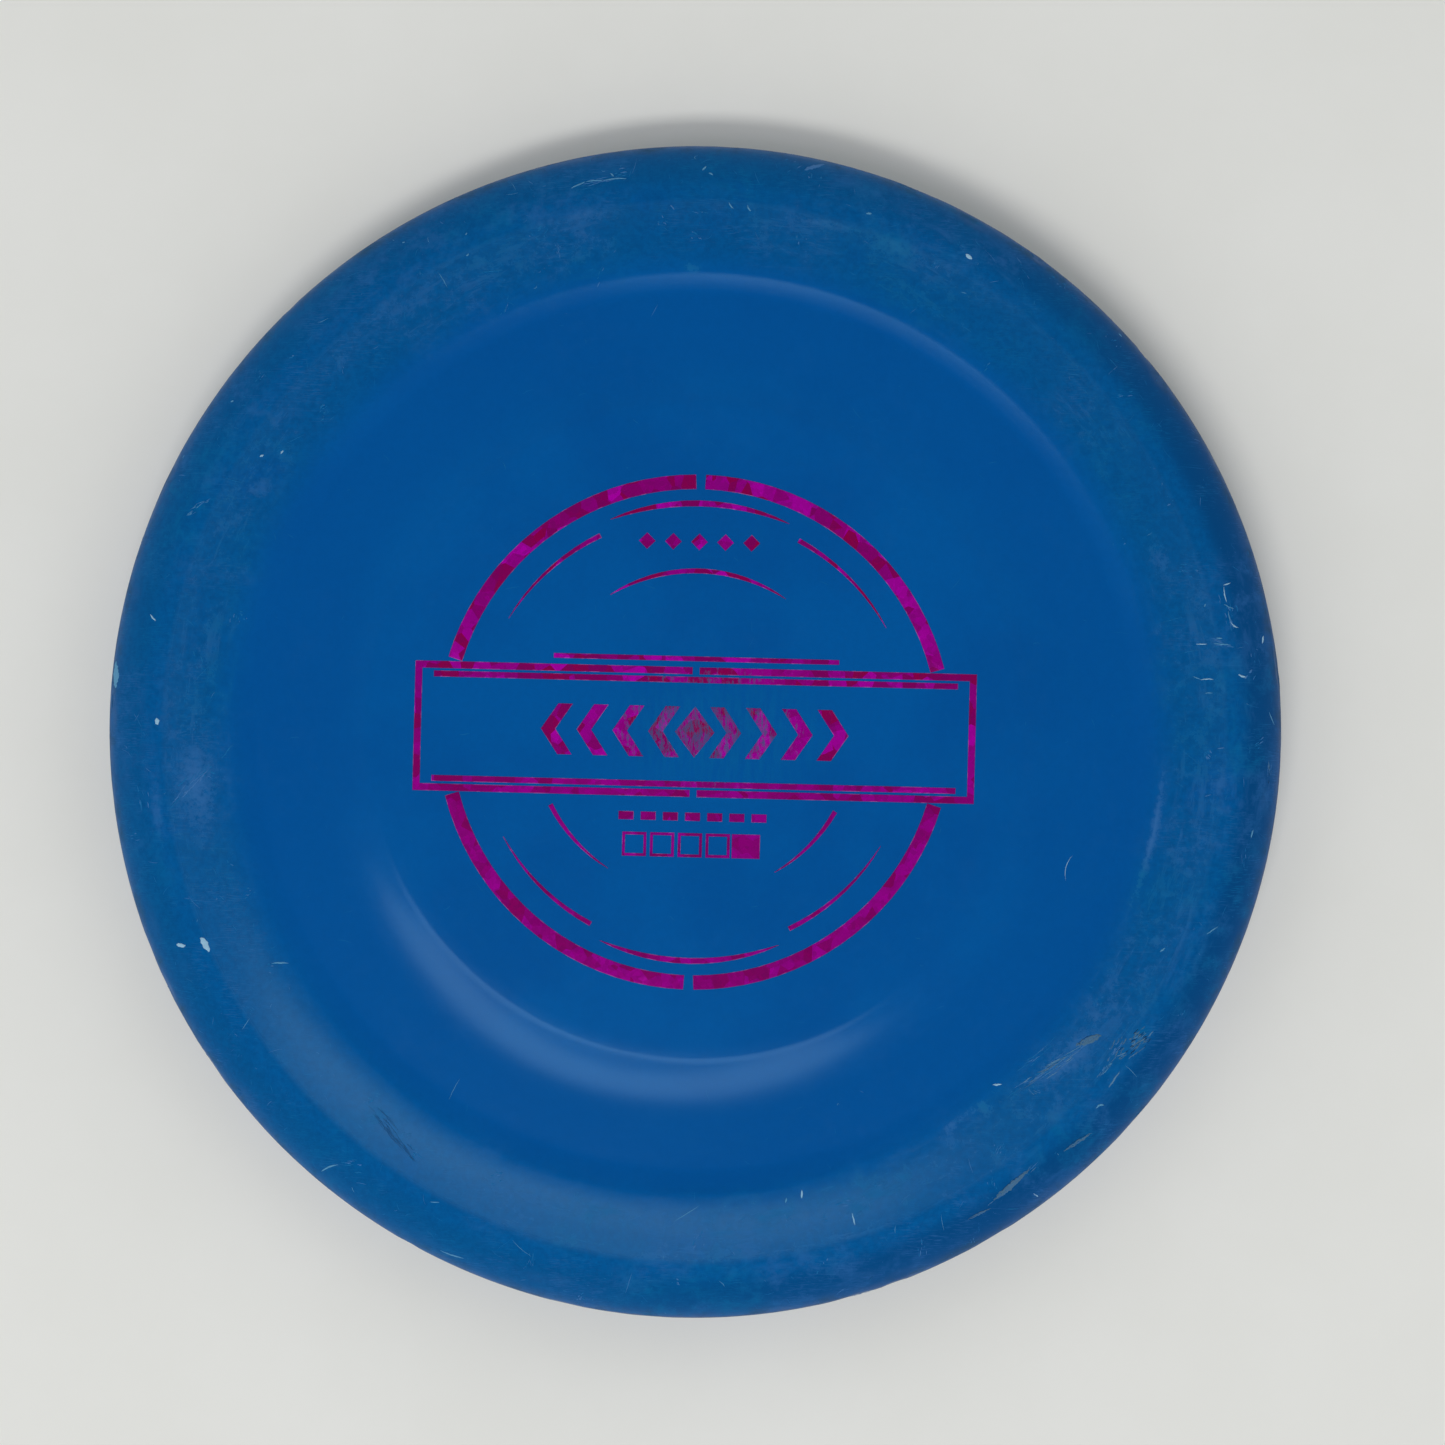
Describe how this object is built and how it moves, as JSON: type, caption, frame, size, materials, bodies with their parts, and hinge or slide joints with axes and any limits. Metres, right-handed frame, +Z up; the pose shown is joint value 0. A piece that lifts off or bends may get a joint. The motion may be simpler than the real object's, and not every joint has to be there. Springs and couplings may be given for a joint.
{
  "type": "flying disc",
  "caption": "Round one-piece moulded flying disc with a deep blunt rim, a shallow ring groove in its top for the thumb, a hollow underside and a stamped foil emblem.",
  "frame": {"origin": "on the disc's axis, in the plane that the foot of the rim rests on", "axes": "+Z up along the disc's axis through the flight plate, +X along the emblem's banner to its right-hand end, +Y towards the emblem's upper half"},
  "size_m": [0.2118, 0.212, 0.0211],
  "materials": {
    "body_plastic": "satin",
    "foil": "satin"
  },
  "bodies": {
    "root": {"disc_body": "body_plastic", "foil_arc_lower": "foil", "foil_arc_lower_left": "foil", "foil_arc_lower_right": "foil", "foil_arc_upper": "foil", "foil_arc_upper_left": "foil", "foil_arc_upper_right": "foil", "foil_block": "foil", "foil_chevron_left_1": "foil", "foil_chevron_left_2": "foil", "foil_chevron_left_3": "foil", "foil_chevron_left_4": "foil", "foil_chevron_right_1": "foil", "foil_chevron_right_2": "foil", "foil_chevron_right_3": "foil", "foil_chevron_right_4": "foil", "foil_crescent_left": "foil", "foil_crescent_right": "foil", "foil_crescent_upper": "foil", "foil_dash_1": "foil", "foil_dash_2": "foil", "foil_dash_3": "foil", "foil_dash_4": "foil", "foil_dash_5": "foil", "foil_dash_6": "foil", "foil_dash_7": "foil", "foil_diamond": "foil", "foil_frame_left": "foil", "foil_frame_right": "foil", "foil_lozenge_1": "foil", "foil_lozenge_2": "foil", "foil_lozenge_3": "foil", "foil_lozenge_4": "foil", "foil_lozenge_5": "foil", "foil_ring_lower_left": "foil", "foil_ring_lower_right": "foil", "foil_ring_upper_left": "foil", "foil_ring_upper_right": "foil", "foil_rule_above": "foil", "foil_rule_lower": "foil", "foil_rule_upper": "foil", "foil_square_1": "foil", "foil_square_2": "foil", "foil_square_3": "foil", "foil_square_4": "foil"}
  },
  "joints": []
}
